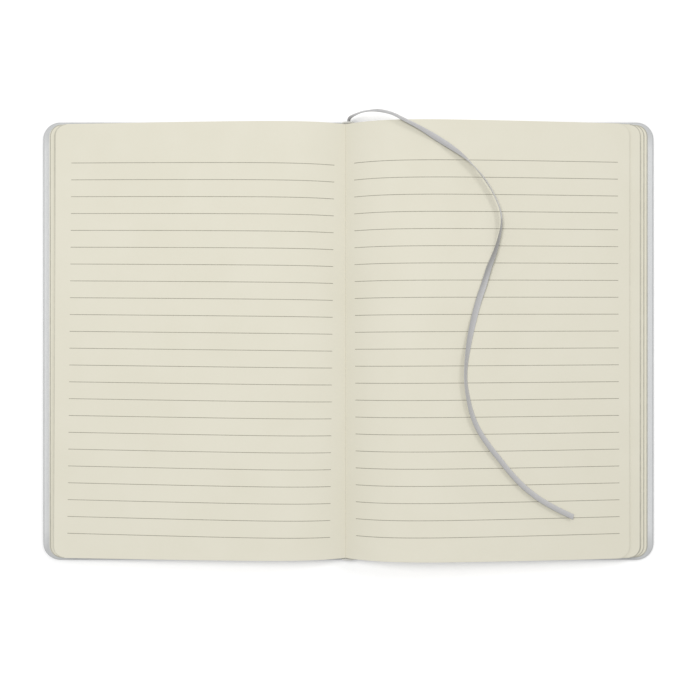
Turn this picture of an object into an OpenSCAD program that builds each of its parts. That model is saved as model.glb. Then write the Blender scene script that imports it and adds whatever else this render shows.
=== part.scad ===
// Ruled notebook, lying open on a table with its two covers flat and its pages up.
// X runs across the spread, +Y towards the head of the pages, Z up from the table.
// The origin is on the table, under the middle of the cover.

/* [Case] */
// Height of the cover, from head to tail
cover_h = 210; // [180:1:240]
// Width of each cover board, from its inner to its fore edge
board_w = 134.2; // [110:0.2:160]
// Thickness of the cover boards
board_t = 1.4; // [0.8:0.1:3]
// Width of the strip of the same board in the spine
spine_board_w = 13; // [9:0.5:18]
// Gap between the spine strip and each board, where the cover bends
joint_gap = 5.5; // [4:0.5:9]
// Depth of the groove pressed into the covering along that gap
groove_depth = 0.8; // [0.3:0.1:0.9]
// Covering left flat between the groove and the edge of each board
groove_margin = 0.6; // [0.3:0.1:1]
// Thickness of the covering material
skin_t = 0.3; // [0.2:0.05:0.6]
// Play left round each board inside the covering
board_fit = 0.1; // [0.05:0.05:0.3]
// Width of the covering that is turned in over the boards
turn_in = 15; // [8:1:25]
// Radius of the cover's outer corners
cover_corner_r = 8; // [4:0.5:14]

/* [Endpapers] */
// Thickness of one endpaper leaf
endpaper_t = 0.2; // [0.1:0.05:0.4]
// Rim of covering left bare round the pasted endpaper
paste_margin = 3.4; // [1.5:0.1:3.8]

/* [Pages] */
// How far the cover stands out past the pages at head and tail
square_y = 1.4; // [0.5:0.1:5]
// How far the cover stands out past the lowest leaves at the fore edge
square_x = 3.2; // [1:0.1:8]
// Radius of the leaves' outer corners
leaf_corner_r = 5.5; // [2:0.5:10]
// Place of the gutter line across the spread, from the middle of the spine
gutter_x = -1.4; // [-2:0.1:2]
// Paper left over the top of the sewn spine's arch
gutter_paper = 0.5; // [0.3:0.1:2]
// Distance from the gutter to the top of the left page's hump
left_hump_d = 38.6; // [25:0.2:60]
// Height of the left page's hump above the endpapers
left_hump_h = 11.5; // [8:0.1:16]
// Height of the left stack of leaves at its fore edge
left_edge_h = 3.8; // [2:0.1:6]
// Distance from the gutter to the top of the right page's hump
right_hump_d = 41.4; // [25:0.2:60]
// Height of the right page's hump above the endpapers
right_hump_h = 15.2; // [8:0.1:18]
// Height of the right stack of leaves at its fore edge
right_edge_h = 5.1; // [2:0.1:7]
// How steeply the pages rise out of the gutter
rise_power = 3; // [2:0.25:4]
// How the pages fall from the hump to the fore edge
fall_power = 1.3; // [1.1:0.1:2]
// How far each bunch of left leaves is drawn in at the fore edge, lowest first
left_draw_in = [0.4, 0.8, 3.3]; // [0:0.1:12]
// Share of the left stack under the top of each bunch
left_share = [0.35, 0.7, 1]; // [0.05:0.05:1]
// How far each bunch of right leaves is drawn in at the fore edge, lowest first
right_draw_in = [0, 1.9, 4, 9.7]; // [0:0.1:14]
// Share of the right stack under the top of each bunch
right_share = [0.22, 0.5, 0.9, 1]; // [0.05:0.05:1]
// Step from each bunch of leaves to the next one at head and tail
bunch_step = 0.15; // [0:0.05:0.5]

/* [Sewn spine] */
// Outer half width of the arch that the sewn backs of the pages form
arch_r = 2.3; // [1.6:0.1:3]
// Height of the upright sides of the arch
arch_leg = 1.6; // [0.5:0.1:1.8]
// Thickness of the spine lining glued inside the arch
lining_t = 0.4; // [0.2:0.05:0.8]
// Thickness of the head and tail bands over the leaves' backs
band_w = 0.9; // [0.4:0.1:1.5]
// How far the bands stand out past the pages at head and tail
band_l = 0.9; // [0.9:0.1:1.6]

/* [Ruling] */
// Number of ruled lines on each page
rule_count = 23; // [10:1:25]
// Distance from one line to the next
rule_pitch = 8; // [5:0.1:8]
// Width of a ruled line
rule_w = 0.3; // [0.2:0.05:0.6]
// Thickness of the printed ink
ink_t = 0.05; // [0.03:0.01:0.1]
// Length of the lines on each page
rule_len = 125; // [90:1:128]
// Blank margin between the gutter and the left page's lines
left_rule_margin = 6.2; // [4:0.1:15]
// Blank margin between the gutter and the right page's lines
right_rule_margin = 4.6; // [4:0.1:8]
// How far the middle line lies below the middle of the page, left then right
rule_drop = [4.1, 3.6]; // [-6:0.1:6]
// Slant of the printed lines, left then right, in degrees
rule_slant = [-0.65, 0.3]; // [-1:0.05:1]

/* [Ribbon] */
// Width of the marker ribbon
ribbon_w = 3.3; // [2.5:0.1:3.3]
// Thickness of the marker ribbon
ribbon_t = 0.36; // [0.2:0.02:0.4]

/* [Hidden] */

// Fineness of true circles
round_fn = 96;
// Flats round the thread-thin head and tail bands
band_fn = 12;
// Overlap of cutting shapes, so that no cut ends on a face
cut_over = 1;
// Parts of each page's width in its curve
page_parts = 20;
// How the curve's points crowd towards the gutter
crowding = 1.5;

cover_t = board_t + 2 * skin_t;
board_x = spine_board_w / 2 + joint_gap;
board_h = cover_h - 2 * (skin_t + board_fit);
hinge_x = spine_board_w / 2 + joint_gap / 2;
groove_half_w = joint_gap / 2 - groove_margin;
groove_r = (pow(groove_half_w, 2) + pow(groove_depth, 2)) / (2 * groove_depth);
cover_edge_x = board_x + board_w + board_fit + skin_t;
base_z = cover_t + 2 * endpaper_t;
page_h = cover_h - 2 * square_y;
leaf_edge_x = cover_edge_x - square_x;
arch_z = base_z + arch_leg;
gutter_h = arch_leg + arch_r + gutter_paper;
rule_field_h = (rule_count - 1) * rule_pitch;
// Clear of every page from above
sky = base_z + left_hump_h + right_hump_h;

// Colours
skin_colour = "#d3d5d6";
board_colour = "#a8a294";
paper_colour = "#e1decd";
lining_colour = "#efece2";
band_colour = "#e9e7e0";
ink_colour = "#8d8a7e";
ribbon_colour = "#a9aab0";

// A flat shape from x0 to x1, as tall as h about the middle, with its two corners at x1 rounded
module outline(x0, x1, h, r) {
    translate([x0, -h / 2]) square([x1 - r - x0, h]);
    translate([x0, -h / 2 + r]) square([x1 - x0, h - 2 * r]);
    for (side = [-1, 1]) translate([x1 - r, side * (h / 2 - r)]) circle(r = r, $fn = round_fn);
}

module plate(x0, x1, h, r, z0, z1) {
    translate([0, 0, z0]) linear_extrude(z1 - z0) outline(x0, x1, h, r);
}

// A shape drawn across the spread, x against height, run from tail to head
module along_page(h) {
    translate([0, h / 2, 0]) rotate([90, 0, 0]) linear_extrude(h) children();
}

// A rod along a hinge line: at radius groove_r it cuts the groove, and a skin's thickness more
// gives the covering's inner face over it
module groove_rod(x, r) {
    translate([x, 0, groove_depth - groove_r])
        along_page(cover_h + 2 * cut_over) circle(r = r, $fn = round_fn);
}

// The back cover lies on the right; the front cover is its mirror image on the left
module cover_skin() {
    inner_r = cover_corner_r - skin_t;
    difference() {
        plate(hinge_x, cover_edge_x, cover_h, cover_corner_r, 0, cover_t);
        difference() {
            union() {
                plate(hinge_x - cut_over, cover_edge_x - skin_t, cover_h - 2 * skin_t, inner_r,
                    skin_t, cover_t - skin_t);
                translate([hinge_x - cut_over, turn_in - cover_h / 2, skin_t])
                    cube([cover_edge_x - turn_in - hinge_x + cut_over, cover_h - 2 * turn_in, cover_t]);
            }
            groove_rod(hinge_x, groove_r + skin_t);
        }
        groove_rod(hinge_x, groove_r);
    }
}

module cover_board() {
    board_r = cover_corner_r - skin_t - board_fit;
    plate(board_x, board_x + board_w, board_h, board_r, skin_t, skin_t + board_t);
}

// The pasted endpaper fills the window between the turn-ins and laps over them
module pastedown() {
    paste_h = cover_h - 2 * paste_margin;
    paste_r = cover_corner_r - paste_margin;
    plate(hinge_x, cover_edge_x - paste_margin, paste_h, paste_r, cover_t, cover_t + endpaper_t);
    translate([board_x, turn_in - cover_h / 2, cover_t - skin_t])
        cube([cover_edge_x - turn_in - board_x, cover_h - 2 * turn_in, skin_t + endpaper_t / 2]);
}

// The free endpaper lies on the pasted one and carries the leaves
module flyleaf() {
    plate(arch_r, leaf_edge_x, page_h, leaf_corner_r, cover_t + endpaper_t, base_z);
}

module front_cover_skin() {
    color(skin_colour) mirror([1, 0, 0]) cover_skin();
}

module back_cover_skin() {
    color(skin_colour) cover_skin();
}

module front_board() {
    color(board_colour) mirror([1, 0, 0]) cover_board();
}

module back_board() {
    color(board_colour) cover_board();
}

module front_pastedown() {
    color(paper_colour) mirror([1, 0, 0]) pastedown();
}

module back_pastedown() {
    color(paper_colour) pastedown();
}

module front_flyleaf() {
    color(paper_colour) mirror([1, 0, 0]) flyleaf();
}

module back_flyleaf() {
    color(paper_colour) flyleaf();
}

// The covering between the two hinge lines, turned in over the strip at head and tail
module spine_skin() {
    inside_h = cover_h - 2 * skin_t;
    color(skin_colour) difference() {
        translate([-hinge_x, -cover_h / 2, 0]) cube([2 * hinge_x, cover_h, cover_t]);
        difference() {
            union() {
                translate([-hinge_x - cut_over, -inside_h / 2, skin_t])
                    cube([2 * (hinge_x + cut_over), inside_h, cover_t - 2 * skin_t]);
                translate([-hinge_x - cut_over, turn_in - cover_h / 2, skin_t])
                    cube([2 * (hinge_x + cut_over), cover_h - 2 * turn_in, cover_t]);
            }
            for (side = [-1, 1]) groove_rod(side * hinge_x, groove_r + skin_t);
        }
        for (side = [-1, 1]) groove_rod(side * hinge_x, groove_r);
    }
}

module spine_board() {
    color(board_colour) translate([-spine_board_w / 2, -board_h / 2, skin_t])
        cube([spine_board_w, board_h, board_t]);
}

// The arch of the sewn backs, filled, to a radius r, and down to a height z under its legs
module arch(r, z) {
    translate([-r, z]) square([2 * r, arch_z - z]);
    translate([0, arch_z]) intersection() {
        circle(r = r, $fn = round_fn);
        translate([-r, 0]) square([2 * r, r]);
    }
}

module spine_lining() {
    color(lining_colour) along_page(page_h) difference() {
        arch(arch_r, base_z);
        arch(arch_r - lining_t, base_z - cut_over);
    }
}

// The band's section: flat against the leaves' ends, round on its outer side
module band_section() {
    square([band_w, band_l - band_w / 2]);
    translate([band_w / 2, band_l - band_w / 2]) circle(r = band_w / 2, $fn = band_fn);
}

// A band over the arch and down its two legs, standing out from the pages' head
module bead() {
    translate([0, 0, arch_z]) rotate([90, 0, 180])
        rotate_extrude(angle = 180, $fn = round_fn) translate([arch_r, 0]) band_section();
    for (side = [0, 1])
        mirror([side, 0, 0]) translate([arch_r, 0, base_z]) linear_extrude(arch_leg) band_section();
}

module head_band() {
    color(band_colour) translate([0, page_h / 2, 0]) bead();
}

module tail_band() {
    color(band_colour) translate([0, -page_h / 2, 0]) mirror([0, 1, 0]) bead();
}

// Height of a page above the endpapers at a distance from the gutter
function page_rise(d, hump_d, hump_h, edge_d, edge_h) =
    d < hump_d
        ? gutter_h + (hump_h - gutter_h) * (1 - pow(1 - d / hump_d, rise_power))
        : hump_h - (hump_h - edge_h) * pow((d - hump_d) / (edge_d - hump_d), fall_power);

// Points [distance from the gutter, rise] along the top leaf, out to its fore edge
function page_curve(hump_d, hump_h, edge_d, edge_h) =
    [for (i = [0:page_parts]) let (d = edge_d * pow(i / page_parts, crowding))
        [d, page_rise(d, hump_d, hump_h, edge_d, edge_h)]];

left_leaf_d = leaf_edge_x + gutter_x;
right_leaf_d = leaf_edge_x - gutter_x;
left_curve = page_curve(left_hump_d, left_hump_h, left_leaf_d - max(left_draw_in), left_edge_h);
right_curve = page_curve(right_hump_d, right_hump_h, right_leaf_d - max(right_draw_in), right_edge_h);

// One bunch of leaves: everything under its own top, cut to its own rounded outline
module bunch(curve, leaf_d, share, draw_in, inset) {
    tops = [for (p = curve) [p[0], base_z + share * p[1]]];
    far = leaf_d + cut_over;
    edge_z = tops[len(tops) - 1][1];
    intersection() {
        along_page(page_h) polygon(concat([[0, base_z]], tops, [[far, edge_z], [far, base_z]]));
        plate(0, leaf_d - draw_in, page_h - 2 * inset, leaf_corner_r, base_z, sky);
    }
}

module leaf_stack(curve, leaf_d, shares, draw_ins) {
    for (i = [0:len(shares) - 1])
        bunch(curve, leaf_d, shares[i], draw_ins[i], i * bunch_step);
}

module text_block() {
    color(paper_colour) difference() {
        translate([gutter_x, 0, 0]) {
            mirror([1, 0, 0]) leaf_stack(left_curve, left_leaf_d, left_share, left_draw_in);
            leaf_stack(right_curve, right_leaf_d, right_share, right_draw_in);
        }
        along_page(page_h + 2 * cut_over) arch(arch_r, base_z - cut_over);
    }
}

// The printed lines: a film of ink on the page's own curve, cut into straight slanted lines
module ruling(curve, margin, drop, slant) {
    n = len(curve) - 1;
    film = concat(curve, [for (i = [0:n]) [curve[n - i][0], curve[n - i][1] + ink_t]]);
    intersection() {
        translate([0, 0, base_z]) along_page(page_h) polygon(film);
        translate([margin + rule_len / 2, -drop, 0]) rotate([0, 0, slant])
            for (row = [0:rule_count - 1])
                translate([-rule_len / 2, rule_field_h / 2 - row * rule_pitch - rule_w / 2, 0])
                    cube([rule_len, rule_w, sky]);
    }
}

module front_ruling() {
    color(ink_colour) translate([gutter_x, 0, 0]) mirror([1, 0, 0])
        ruling(left_curve, left_rule_margin, rule_drop[0], -rule_slant[0]);
}

module back_ruling() {
    color(ink_colour) translate([gutter_x, 0, 0])
        ruling(right_curve, right_rule_margin, rule_drop[1], rule_slant[1]);
}

// The ribbon's route, from the head of the spine to its cut end, as [x, y, z]
route = [
    [0.1, 103.6, 5], [0.1, 104.95, 5], [0.8, 106.3, 6.2], [3, 107.2, 8.4], [6.3, 107.9, 11.2],
    [10, 108.1, 13.4], [14.3, 107.7, 15.4], [20.3, 105.8, 17.8], [26.3, 102.6, 18.8], [33.5, 98.8, 18.95],
    [41.5, 94, 18.4], [48.5, 89.5, 18.5], [53.5, 85.8, 18.6], [58.5, 81, 18.6], [63.5, 75, 18.3],
    [67.5, 68.5, 17.9], [70.5, 61.5, 17.6], [71.3, 55, 17.5], [70.2, 48.2, 17.4], [68.2, 41.2, 17.4],
    [65.6, 34.2, 17.3], [63.2, 26.2, 17.1], [60.6, 18.2, 16.9], [58.2, 9, 17.1], [56.3, 0, 17.7],
    [54.8, -10.5, 18.3], [54.6, -19, 18.4], [55.8, -27.2, 18.2], [57.6, -34.4, 17.9], [60.8, -41.8, 17.5],
    [65.6, -49, 17.1], [70.8, -55.6, 16.5], [76, -62, 16], [82, -68.2, 15.3], [89.4, -74, 14.5],
    [97.6, -78.8, 13.5], [105.8, -82.8, 12.5],
];
// Turn of the ribbon about its route at each point: 0 lies flat, 90 stands on edge
roll = [
    0, 0, 28, 52, 62, 62, 50, 52, 48, 40,
    12, 30, 54, 78, 87, 84, 86, 92, 104, 121,
    142, 160, 176, 190, 209, 232, 237, 230, 221, 215,
    214, 213, 212, 211, 212, 213, 214,
];

// Half the ribbon's section, as shares of its half width and half thickness
ribbon_section = [
    [1, 0.4], [0.9, 1], [-0.9, 1], [-1, 0.4],
    [-1, -0.4], [-0.9, -1], [0.9, -1], [1, -0.4],
];

function unit(v) = v / norm(v);

function heading(i) =
    unit(route[min(i + 1, len(route) - 1)] - route[max(i - 1, 0)]);

// Directions across the ribbon's width at a point; its first ring lies on the pages' head face
function across(i) =
    i == 0
        ? [1, 0, 0]
        : let (ahead = heading(i), side = unit(cross(ahead, [0, 0, 1])), up = cross(side, ahead))
            side * cos(roll[i]) + up * sin(roll[i]);

function through(i) = i == 0 ? [0, 0, 1] : unit(cross(across(i), heading(i)));

function ring(i) =
    [for (s = ribbon_section)
        route[i] + across(i) * s[0] * ribbon_w / 2 + through(i) * s[1] * ribbon_t / 2];

module ribbon() {
    sides = len(ribbon_section);
    rings = len(route);
    points = [for (i = [0:rings - 1]) each ring(i)];
    walls = [for (i = [0:rings - 2], k = [0:sides - 1])
        let (a = i * sides + k, b = i * sides + (k + 1) % sides)
            each [[a, b, a + sides], [b, b + sides, a + sides]]];
    start = [[for (k = [0:sides - 1]) sides - 1 - k]];
    end = [[for (k = [0:sides - 1]) (rings - 1) * sides + k]];
    color(ribbon_colour) polyhedron(points, concat(start, walls, end));
}

front_cover_skin();
front_board();
front_pastedown();
back_cover_skin();
back_board();
back_pastedown();
spine_skin();
spine_board();
spine_lining();
head_band();
tail_band();
front_flyleaf();
back_flyleaf();
text_block();
front_ruling();
back_ruling();
ribbon();
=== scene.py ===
import math
import random

import bmesh
import bpy
from bpy.props import FloatProperty, FloatVectorProperty, IntProperty, PointerProperty
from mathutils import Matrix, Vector, noise


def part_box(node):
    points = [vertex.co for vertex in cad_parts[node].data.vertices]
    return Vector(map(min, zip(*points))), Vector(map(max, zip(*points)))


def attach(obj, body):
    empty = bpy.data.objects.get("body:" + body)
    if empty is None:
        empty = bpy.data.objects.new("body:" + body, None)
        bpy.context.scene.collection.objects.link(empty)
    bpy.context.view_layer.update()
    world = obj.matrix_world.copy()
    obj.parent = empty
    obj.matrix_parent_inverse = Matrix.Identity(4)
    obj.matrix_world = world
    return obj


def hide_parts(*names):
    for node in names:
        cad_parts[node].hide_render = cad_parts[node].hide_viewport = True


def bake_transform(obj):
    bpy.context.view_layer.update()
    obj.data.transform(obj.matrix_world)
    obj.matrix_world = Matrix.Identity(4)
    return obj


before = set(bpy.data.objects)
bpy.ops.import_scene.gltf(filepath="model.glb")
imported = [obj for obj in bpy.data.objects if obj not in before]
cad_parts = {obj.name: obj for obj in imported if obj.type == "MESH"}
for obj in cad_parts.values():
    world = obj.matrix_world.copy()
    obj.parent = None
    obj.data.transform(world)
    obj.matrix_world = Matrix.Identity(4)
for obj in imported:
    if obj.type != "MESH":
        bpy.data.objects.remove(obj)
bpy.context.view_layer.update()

bl_info = {
    "name": "Ruled Notebook",
    "version": (1, 0, 0),
    "blender": (4, 5, 0),
    "location": "View3D > Sidebar > Notebook",
    "description": "Dresses an open ruled notebook with leaves, covering, ruling and a ribbon",
    "category": "Object",
}

MM = 0.001

# Sizes that the solids give
COVER_LOW, COVER_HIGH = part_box("back_cover_skin")
COVER_EDGE = COVER_HIGH.x
COVER_HALF = COVER_HIGH.y
COVER_T = COVER_HIGH.z
HINGE_X = COVER_LOW.x
LEAVES_LOW, LEAVES_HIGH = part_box("text_block")
PAGE_HALF = LEAVES_HIGH.y
BASE_Z = LEAVES_LOW.z
LEAF_EDGE = LEAVES_HIGH.x
PASTE_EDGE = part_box("back_pastedown")[1].x
PASTE_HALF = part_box("back_pastedown")[1].y
FLY_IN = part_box("back_flyleaf")[0].x
FLY_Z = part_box("back_flyleaf")[0].z
ARCH_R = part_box("spine_lining")[1].x
BOARD_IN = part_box("back_board")[0].x
STRIP_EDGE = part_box("spine_board")[1].x

# Shape of the open pages, as in the solids
GUTTER_X = -1.4 * MM
GUTTER_H = 4.4 * MM
ARCH_Z = BASE_Z + 1.6 * MM
LEAF_CORNER_R = 5.5 * MM
COVER_CORNER_R = 8 * MM
TURN_IN = 15 * MM
SKIN_T = 0.3 * MM
JOINT_GAP = BOARD_IN - STRIP_EDGE
GROOVE_DEPTH = 0.8 * MM
GROOVE_MARGIN = 0.6 * MM
GROOVE_HALF = JOINT_GAP / 2 - GROOVE_MARGIN
# How far the top leaves are drawn in at head and tail
HEAD_DRAW_IN = 0.45 * MM
# How far each bunch slopes at the fore edge, and how far its lowest leaf stands out past it
BUNCH_SLOPE = 0.25 * MM
BUNCH_OVERHANG = 0.12 * MM
# Where the search for a leaf's start begins, past the arch, and its step back
ARCH_SEARCH = 4.2 * MM
ARCH_STEP = 0.03 * MM
# How steeply a page climbs out of the gutter, and how it falls from the hump to the fore edge
CLIMB_POWER = 3
FALL_POWER = 1.3
# Lengths below this are taken as none
TINY = 1e-6


class Side:
    """The shape of one side's stack of leaves. Distances run from the gutter outwards."""

    def __init__(self, name, sign, hump_d, hump_h, edge_h, shares, draw_in, slant, rim_shade, ruling):
        self.name = name
        self.sign = sign
        self.hump_d = hump_d * MM
        self.hump_h = hump_h * MM
        self.edge_h = edge_h * MM
        self.shares = shares
        self.draw_in = [d * MM for d in draw_in]
        self.leaf_d = LEAF_EDGE - sign * GUTTER_X
        self.edge_d = self.leaf_d - max(self.draw_in)
        self.slant = slant
        self.rim_shade = rim_shade
        self.ruling = ruling

    def rise(self, d):
        """Height of the open page above the endpapers"""
        if d < self.hump_d:
            climb = 1 - (1 - max(d, 0) / self.hump_d) ** CLIMB_POWER
            return GUTTER_H + (self.hump_h - GUTTER_H) * climb
        fall = (d - self.hump_d) / (self.edge_d - self.hump_d)
        return self.hump_h - (self.hump_h - self.edge_h) * fall**FALL_POWER

    def x(self, d):
        return GUTTER_X + self.sign * d

    def drawn_in(self, share):
        """How far the leaf at a share of the stack's height is drawn in at the fore edge"""
        low = 0
        for top, reach in zip(self.shares, self.draw_in):
            if share <= top + TINY:
                slope = BUNCH_SLOPE * (share - low) / (top - low) - BUNCH_OVERHANG
                return reach + (slope if share < 1 else 0)
            low = top
        return self.draw_in[-1]

    def start(self, share, sheet=0.0):
        """Distance from the gutter at which a leaf comes out of the sewn spine's arch"""
        d = ARCH_SEARCH
        while d > 0:
            x, z = self.x(d), BASE_Z + share * (self.rise(d) - sheet)
            inside = abs(x) < ARCH_R and z < ARCH_Z
            if inside or math.hypot(x, z - ARCH_Z) < ARCH_R:
                return d + ARCH_STEP
            d -= ARCH_STEP
        return 0.0


# Slant of the open leaf's fore edge in degrees and how much painted shade its rim takes; for the ruling,
# its margin, the drop of its middle line, and its slant in degrees
LEFT = Side(
    "left", -1, hump_d=38.6, hump_h=11.5, edge_h=3.8, shares=(0.35, 0.7, 1),
    draw_in=(0.4, 0.8, 3.3), slant=0.26, rim_shade=0.5, ruling=(6.2, 4.1, 0.65))
RIGHT = Side(
    "right", 1, hump_d=41.4, hump_h=15.2, edge_h=5.1, shares=(0.22, 0.5, 0.9, 1),
    draw_in=(0, 1.9, 4, 9.7), slant=0.0, rim_shade=0.16, ruling=(4.6, 3.6, 0.3))
SIDES = (LEFT, RIGHT)

# The ribbon's route and its turn about it, as in the solids
ROUTE_MM = [
    (0.1, 103.6, 5), (0.1, 104.95, 5), (0.8, 106.3, 6.2), (3, 107.2, 8.4), (6.3, 107.9, 11.2),
    (10, 108.1, 13.4), (14.3, 107.7, 15.4), (20.3, 105.8, 17.8), (26.3, 102.6, 18.8), (33.5, 98.8, 18.95),
    (41.5, 94, 18.4), (48.5, 89.5, 18.5), (53.5, 85.8, 18.6), (58.5, 81, 18.6), (63.5, 75, 18.3),
    (67.5, 68.5, 17.9), (70.5, 61.5, 17.6), (71.3, 55, 17.5), (70.2, 48.2, 17.4), (68.2, 41.2, 17.4),
    (65.6, 34.2, 17.3), (63.2, 26.2, 17.1), (60.6, 18.2, 16.9), (58.2, 9, 17.1), (56.3, 0, 17.7),
    (54.8, -10.5, 18.3), (54.6, -19, 18.4), (55.8, -27.2, 18.2), (57.6, -34.4, 17.9), (60.8, -41.8, 17.5),
    (65.6, -49, 17.1), (70.8, -55.6, 16.5), (76, -62, 16), (82, -68.2, 15.3), (89.4, -74, 14.5),
    (97.6, -78.8, 13.5), (105.8, -82.8, 12.5),
]
ROUTE = [Vector(p) * MM for p in ROUTE_MM]
ROLL = [
    0, 0, 28, 52, 62, 62, 50, 52, 48, 40, 12, 30, 54, 78, 87, 84, 86, 92, 104, 121,
    142, 160, 176, 190, 209, 232, 237, 230, 221, 215, 214, 213, 212, 211, 212, 213, 214,
]


# Settings

def colour_setting(name, description, default):
    return FloatVectorProperty(
        name=name, description=description, subtype="COLOR", size=3, min=0, max=1, default=default)


def length_setting(name, description, default, low, high):
    """A length whose value and bounds are given in millimetres"""
    return FloatProperty(
        name=name, description=description, unit="LENGTH",
        default=default * MM, min=low * MM, max=high * MM)


def count_setting(name, description, default, low, high):
    return IntProperty(name=name, description=description, default=default, min=low, max=high)


def strength_setting(name, description, default, high, unit="NONE"):
    return FloatProperty(
        name=name, description=description, unit=unit, default=default, min=0, max=high)


class NotebookCase(bpy.types.PropertyGroup):
    """The covering, boards and endpapers"""

    covering: colour_setting("Covering", "Colour of the leatherette covering", (0.61, 0.62, 0.625))
    board: colour_setting("Board", "Colour of the grey board", (0.36, 0.33, 0.28))
    rim_round: length_setting(
        "Rim rounding", "Radius of the covering where it wraps the boards' edges", 0.5, 0.1, 0.9)
    paste_dip: length_setting(
        "Endpaper dip", "How far the pasted endpaper dips inside the turned-in covering", 0.14, 0, 0.25)


class NotebookLeaves(bpy.types.PropertyGroup):
    """The leaves and their paper"""

    paper: colour_setting("Paper", "Colour of the ivory paper", (0.655, 0.632, 0.533))
    left_bunches: count_setting(
        "Left bunches", "Thin bunches of leaves modelled on the left", 14, 4, 40)
    right_bunches: count_setting(
        "Right bunches", "Thin bunches of leaves modelled on the right", 18, 4, 40)
    leaf_t: length_setting("Leaf thickness", "Thickness of the open page's own leaf", 0.1, 0.05, 0.2)
    unevenness: length_setting(
        "Unevenness", "How far the bunches stand out past each other at their edges", 0.09, 0, 0.3)
    curl: length_setting("Curl", "Lift of the open pages' outer corners", 0.35, 0, 2)


class NotebookRuling(bpy.types.PropertyGroup):
    """The printed lines"""

    ink: colour_setting("Ink", "Colour of the ruled lines", (0.245, 0.232, 0.185))
    count: count_setting("Lines", "Ruled lines on each page", 23, 5, 30)
    pitch: length_setting("Pitch", "Distance from line to line", 8, 4, 12)
    width: length_setting("Line width", "Width of a ruled line", 0.3, 0.1, 0.8)
    length: length_setting("Line length", "Length of a ruled line", 125, 60, 130)


class NotebookRibbon(bpy.types.PropertyGroup):
    """The marker ribbon and the bands"""

    satin: colour_setting("Satin", "Colour of the ribbon", (0.435, 0.432, 0.434))
    width: length_setting("Width", "Width of the ribbon", 2.8, 2, 6)
    cup: length_setting(
        "Cup", "How far the ribbon bows across its width where it lies flat", 0.22, 0, 0.5)
    thickness: length_setting("Thickness", "Thickness of the ribbon", 0.3, 0.1, 0.36)
    thread: colour_setting("Band thread", "Colour of the head and tail bands", (0.62, 0.61, 0.57))


class NotebookStage(bpy.types.PropertyGroup):
    """The camera, floor and lights"""

    camera_height: length_setting(
        "Camera height", "Height of the camera over the table", 502, 200, 3000)
    floor: colour_setting("Floor", "Colour of the table", (0.94, 0.94, 0.94))
    glow: strength_setting("Table glow", "Light that the white table gives back by itself", 0.05, 2)
    dome: strength_setting("Dome", "Strength of the even light all round", 0.53, 5)
    overhead: strength_setting(
        "Overhead light", "Strength of the broad soft light over the book", 6.9, 200, "POWER")
    right: strength_setting(
        "Right light", "Strength of the light that gives the ribbon its shadow", 3.4, 200, "POWER")


SETTINGS = (
    ("notebook_case", NotebookCase), ("notebook_leaves", NotebookLeaves),
    ("notebook_ruling", NotebookRuling), ("notebook_ribbon", NotebookRibbon),
    ("notebook_stage", NotebookStage),
)


# Mesh helpers

def flat_plate(bm, x0, x1, half_h, corner_r, segments=8):
    """One flat face from x0 out to x1, with its two corners at x1 rounded"""
    made = bmesh.ops.create_grid(bm, x_segments=1, y_segments=1, size=0.5)["verts"]
    bmesh.ops.scale(bm, vec=(x1 - x0, 2 * half_h, 1), verts=made)
    bmesh.ops.translate(bm, vec=((x0 + x1) / 2, 0, 0), verts=made)
    if corner_r:
        corners = [v for v in made if v.co.x > (x0 + x1) / 2]
        bmesh.ops.bevel(bm, geom=corners, offset=corner_r, segments=segments, profile=0.5,
                        affect="VERTICES", material=-1)


def cut_at(bm, axis, places):
    """Cuts everything across an axis at each place"""
    normal = Vector((axis == "x", axis == "y", axis == "z"))
    for place in places:
        geom = bm.verts[:] + bm.edges[:] + bm.faces[:]
        bmesh.ops.bisect_plane(bm, geom=geom, dist=1e-7, plane_co=normal * place, plane_no=normal)


def thicken(bm, height):
    """Raises a flat sheet into a closed plate"""
    made = bmesh.ops.extrude_face_region(bm, geom=bm.faces[:])["geom"]
    top = [g for g in made if isinstance(g, bmesh.types.BMVert)]
    bmesh.ops.translate(bm, vec=(0, 0, height), verts=top)
    bmesh.ops.recalc_face_normals(bm, faces=bm.faces[:])


def even_places(start, stop, step):
    """Places from start to stop, close to a step apart, both ends left out"""
    n = max(1, round(abs(stop - start) / step))
    return [start + (stop - start) * i / n for i in range(1, n)]


def flip_side(bm, sign):
    """Turns a shape made for the right-hand side into the left-hand one"""
    if sign < 0:
        bmesh.ops.scale(bm, vec=(-1, 1, 1), verts=bm.verts[:])
        bmesh.ops.reverse_faces(bm, faces=bm.faces[:])


def piece(name, bm, material, sharp=32):
    """Makes a bmesh a finished piece of the scene"""
    mesh = bpy.data.meshes.new(name)
    bm.to_mesh(mesh)
    bm.free()
    mesh.polygons.foreach_set("use_smooth", [True] * len(mesh.polygons))
    mesh.set_sharp_from_angle(angle=math.radians(sharp))
    mesh.materials.append(material)
    obj = bpy.data.objects.new(name, mesh)
    bpy.context.scene.collection.objects.link(obj)
    return obj


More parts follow.
